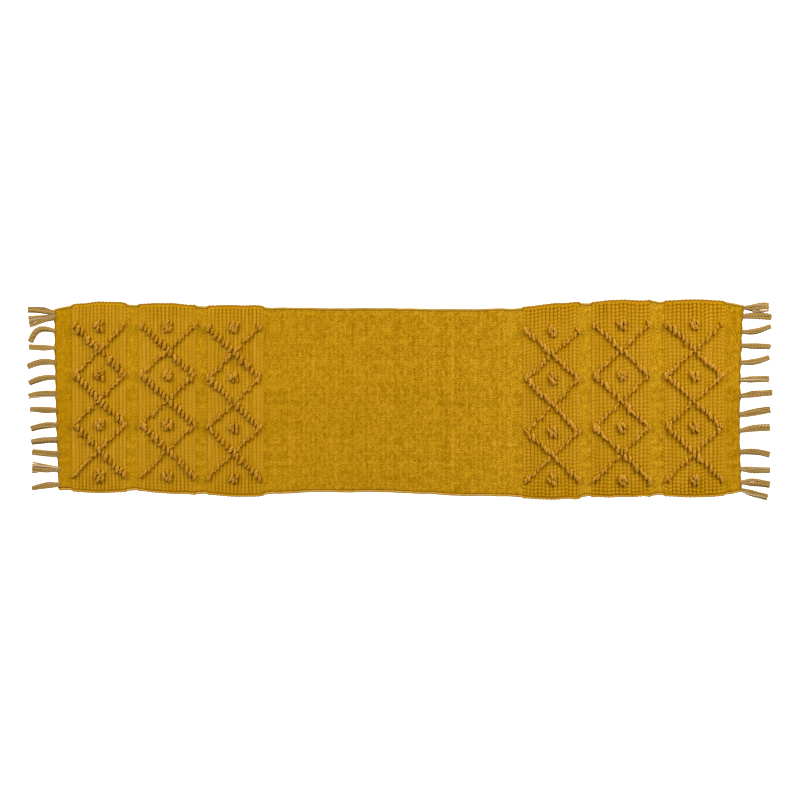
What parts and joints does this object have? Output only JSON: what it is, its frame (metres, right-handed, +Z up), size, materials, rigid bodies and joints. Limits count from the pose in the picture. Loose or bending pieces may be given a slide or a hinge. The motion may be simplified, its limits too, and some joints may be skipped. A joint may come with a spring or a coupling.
{
  "type": "table runner",
  "caption": "Handwoven cotton table runner with ribbed bands, raised yarn loops in crossing zigzags and a tasselled fringe at each end.",
  "frame": {"origin": "on the surface that the runner lies on, under the middle of its length and width, fringe included", "axes": "+X along the length, +Y across the width, +Z up, with the loops on the top face"},
  "size_m": [1.3716, 0.37, 0.0094],
  "materials": {
    "cloth": "matt mustard cotton, plain weave and thick ribs",
    "loop_yarn": "matt soft-spun cotton loops, a little lighter and browner than the cloth",
    "fringe_yarn": "matt tan cotton warp ends, loosely bunched"
  },
  "bodies": {
    "centre": {"centre_panel": "cloth"},
    "left_inner": {"left_fold_strip": "cloth", "left_inner_band": "cloth", "left_inner_loops": "loop_yarn", "left_inner_stripe_a": "cloth"},
    "left_middle": {"left_inner_stripe_b": "cloth", "left_middle_band": "cloth", "left_middle_loops": "loop_yarn", "left_outer_stripe_a": "cloth"},
    "left_outer": {"left_outer_stripe_b": "cloth", "left_outer_band": "cloth", "left_outer_loops": "loop_yarn", "left_heading": "cloth"},
    "left_tassel_01": {"left_tassel_01": "fringe_yarn"},
    "left_tassel_02": {"left_tassel_02": "fringe_yarn"},
    "left_tassel_03": {"left_tassel_03": "fringe_yarn"},
    "left_tassel_04": {"left_tassel_04": "fringe_yarn"},
    "left_tassel_05": {"left_tassel_05": "fringe_yarn"},
    "left_tassel_06": {"left_tassel_06": "fringe_yarn"},
    "left_tassel_07": {"left_tassel_07": "fringe_yarn"},
    "left_tassel_08": {"left_tassel_08": "fringe_yarn"},
    "left_tassel_09": {"left_tassel_09": "fringe_yarn"},
    "left_tassel_10": {"left_tassel_10": "fringe_yarn"},
    "left_tassel_11": {"left_tassel_11": "fringe_yarn"},
    "left_tassel_12": {"left_tassel_12": "fringe_yarn"},
    "left_tassel_13": {"left_tassel_13": "fringe_yarn"},
    "right_inner": {"right_fold_strip": "cloth", "right_inner_band": "cloth", "right_inner_loops": "loop_yarn", "right_inner_stripe_a": "cloth"},
    "right_middle": {"right_inner_stripe_b": "cloth", "right_middle_band": "cloth", "right_middle_loops": "loop_yarn", "right_outer_stripe_a": "cloth"},
    "right_outer": {"right_outer_stripe_b": "cloth", "right_outer_band": "cloth", "right_outer_loops": "loop_yarn", "right_heading": "cloth"},
    "right_tassel_01": {"right_tassel_01": "fringe_yarn"},
    "right_tassel_02": {"right_tassel_02": "fringe_yarn"},
    "right_tassel_03": {"right_tassel_03": "fringe_yarn"},
    "right_tassel_04": {"right_tassel_04": "fringe_yarn"},
    "right_tassel_05": {"right_tassel_05": "fringe_yarn"},
    "right_tassel_06": {"right_tassel_06": "fringe_yarn"},
    "right_tassel_07": {"right_tassel_07": "fringe_yarn"},
    "right_tassel_08": {"right_tassel_08": "fringe_yarn"},
    "right_tassel_09": {"right_tassel_09": "fringe_yarn"},
    "right_tassel_10": {"right_tassel_10": "fringe_yarn"},
    "right_tassel_11": {"right_tassel_11": "fringe_yarn"},
    "right_tassel_12": {"right_tassel_12": "fringe_yarn"},
    "right_tassel_13": {"right_tassel_13": "fringe_yarn"}
  },
  "joints": [
    {"name": "left_inner_fold", "type": "hinge", "parent": "centre", "child": "left_inner", "pos_m": [-0.2405, 0, -0.00015], "axis": [0, -1, 0], "range_deg": [-90, 180]},
    {"name": "left_middle_fold", "type": "hinge", "parent": "left_inner", "child": "left_middle", "pos_m": [-0.365, 0, 0.0008], "axis": [0, 1, 0], "range_deg": [-90, 90]},
    {"name": "left_outer_fold", "type": "hinge", "parent": "left_middle", "child": "left_outer", "pos_m": [-0.4925, 0, 0.0008], "axis": [0, 1, 0], "range_deg": [-90, 90]},
    {"name": "right_inner_fold", "type": "hinge", "parent": "centre", "child": "right_inner", "pos_m": [0.2155, 0, -0.00015], "axis": [0, 1, 0], "range_deg": [-90, 180]},
    {"name": "right_middle_fold", "type": "hinge", "parent": "right_inner", "child": "right_middle", "pos_m": [0.342, 0, 0.0008], "axis": [0, -1, 0], "range_deg": [-90, 90]},
    {"name": "right_outer_fold", "type": "hinge", "parent": "right_middle", "child": "right_outer", "pos_m": [0.474, 0, 0.0008], "axis": [0, -1, 0], "range_deg": [-90, 90]},
    {"name": "left_tassel_01_swing", "type": "hinge", "parent": "left_outer", "child": "left_tassel_01", "pos_m": [-0.63855, 0.16, 0.0016], "axis": [0, -1, 0], "range_deg": [-90, 90]},
    {"name": "left_tassel_02_swing", "type": "hinge", "parent": "left_outer", "child": "left_tassel_02", "pos_m": [-0.63844, 0.15, 0.0016], "axis": [0, -1, 0], "range_deg": [-90, 90]},
    {"name": "left_tassel_03_swing", "type": "hinge", "parent": "left_outer", "child": "left_tassel_03", "pos_m": [-0.6381, 0.126, 0.0016], "axis": [0, -1, 0], "range_deg": [-90, 90]},
    {"name": "left_tassel_04_swing", "type": "hinge", "parent": "left_outer", "child": "left_tassel_04", "pos_m": [-0.63755, 0.095, 0.0016], "axis": [0, -1, 0], "range_deg": [-90, 90]},
    {"name": "left_tassel_05_swing", "type": "hinge", "parent": "left_outer", "child": "left_tassel_05", "pos_m": [-0.63695, 0.067, 0.0016], "axis": [0, -1, 0], "range_deg": [-90, 90]},
    {"name": "left_tassel_06_swing", "type": "hinge", "parent": "left_outer", "child": "left_tassel_06", "pos_m": [-0.63628, 0.04, 0.0016], "axis": [0, -1, 0], "range_deg": [-90, 90]},
    {"name": "left_tassel_07_swing", "type": "hinge", "parent": "left_outer", "child": "left_tassel_07", "pos_m": [-0.63541, 0.01, 0.0016], "axis": [0, -1, 0], "range_deg": [-90, 90]},
    {"name": "left_tassel_08_swing", "type": "hinge", "parent": "left_outer", "child": "left_tassel_08", "pos_m": [-0.63443, -0.02, 0.0016], "axis": [0, -1, 0], "range_deg": [-90, 90]},
    {"name": "left_tassel_09_swing", "type": "hinge", "parent": "left_outer", "child": "left_tassel_09", "pos_m": [-0.63342, -0.048, 0.0016], "axis": [0, -1, 0], "range_deg": [-90, 90]},
    {"name": "left_tassel_10_swing", "type": "hinge", "parent": "left_outer", "child": "left_tassel_10", "pos_m": [-0.63238, -0.074, 0.0016], "axis": [0, -1, 0], "range_deg": [-90, 90]},
    {"name": "left_tassel_11_swing", "type": "hinge", "parent": "left_outer", "child": "left_tassel_11", "pos_m": [-0.63121, -0.101, 0.0016], "axis": [0, -1, 0], "range_deg": [-90, 90]},
    {"name": "left_tassel_12_swing", "type": "hinge", "parent": "left_outer", "child": "left_tassel_12", "pos_m": [-0.6299, -0.129, 0.0016], "axis": [0, -1, 0], "range_deg": [-90, 90]},
    {"name": "left_tassel_13_swing", "type": "hinge", "parent": "left_outer", "child": "left_tassel_13", "pos_m": [-0.62846, -0.1575, 0.0016], "axis": [0, -1, 0], "range_deg": [-90, 90]},
    {"name": "right_tassel_01_swing", "type": "hinge", "parent": "right_outer", "child": "right_tassel_01", "pos_m": [0.6352, 0.169, 0.0016], "axis": [0, 1, 0], "range_deg": [-90, 90]},
    {"name": "right_tassel_02_swing", "type": "hinge", "parent": "right_outer", "child": "right_tassel_02", "pos_m": [0.63401, 0.153, 0.0016], "axis": [0, 1, 0], "range_deg": [-90, 90]},
    {"name": "right_tassel_03_swing", "type": "hinge", "parent": "right_outer", "child": "right_tassel_03", "pos_m": [0.63216, 0.125, 0.0016], "axis": [0, 1, 0], "range_deg": [-90, 90]},
    {"name": "right_tassel_04_swing", "type": "hinge", "parent": "right_outer", "child": "right_tassel_04", "pos_m": [0.63072, 0.099, 0.0016], "axis": [0, 1, 0], "range_deg": [-90, 90]},
    {"name": "right_tassel_05_swing", "type": "hinge", "parent": "right_outer", "child": "right_tassel_05", "pos_m": [0.62938, 0.069, 0.0016], "axis": [0, 1, 0], "range_deg": [-90, 90]},
    {"name": "right_tassel_06_swing", "type": "hinge", "parent": "right_outer", "child": "right_tassel_06", "pos_m": [0.6283, 0.036, 0.0016], "axis": [0, 1, 0], "range_deg": [-90, 90]},
    {"name": "right_tassel_07_swing", "type": "hinge", "parent": "right_outer", "child": "right_tassel_07", "pos_m": [0.6277, 0.007, 0.0016], "axis": [0, 1, 0], "range_deg": [-90, 90]},
    {"name": "right_tassel_08_swing", "type": "hinge", "parent": "right_outer", "child": "right_tassel_08", "pos_m": [0.6274, -0.029, 0.0016], "axis": [0, 1, 0], "range_deg": [-90, 90]},
    {"name": "right_tassel_09_swing", "type": "hinge", "parent": "right_outer", "child": "right_tassel_09", "pos_m": [0.62752, -0.058, 0.0016], "axis": [0, 1, 0], "range_deg": [-90, 90]},
    {"name": "right_tassel_10_swing", "type": "hinge", "parent": "right_outer", "child": "right_tassel_10", "pos_m": [0.62819, -0.097, 0.0016], "axis": [0, 1, 0], "range_deg": [-90, 90]},
    {"name": "right_tassel_11_swing", "type": "hinge", "parent": "right_outer", "child": "right_tassel_11", "pos_m": [0.62915, -0.128, 0.0016], "axis": [0, 1, 0], "range_deg": [-90, 90]},
    {"name": "right_tassel_12_swing", "type": "hinge", "parent": "right_outer", "child": "right_tassel_12", "pos_m": [0.63018, -0.153, 0.0016], "axis": [0, 1, 0], "range_deg": [-90, 90]},
    {"name": "right_tassel_13_swing", "type": "hinge", "parent": "right_outer", "child": "right_tassel_13", "pos_m": [0.63084, -0.1665, 0.0016], "axis": [0, 1, 0], "range_deg": [-90, 90]}
  ]
}
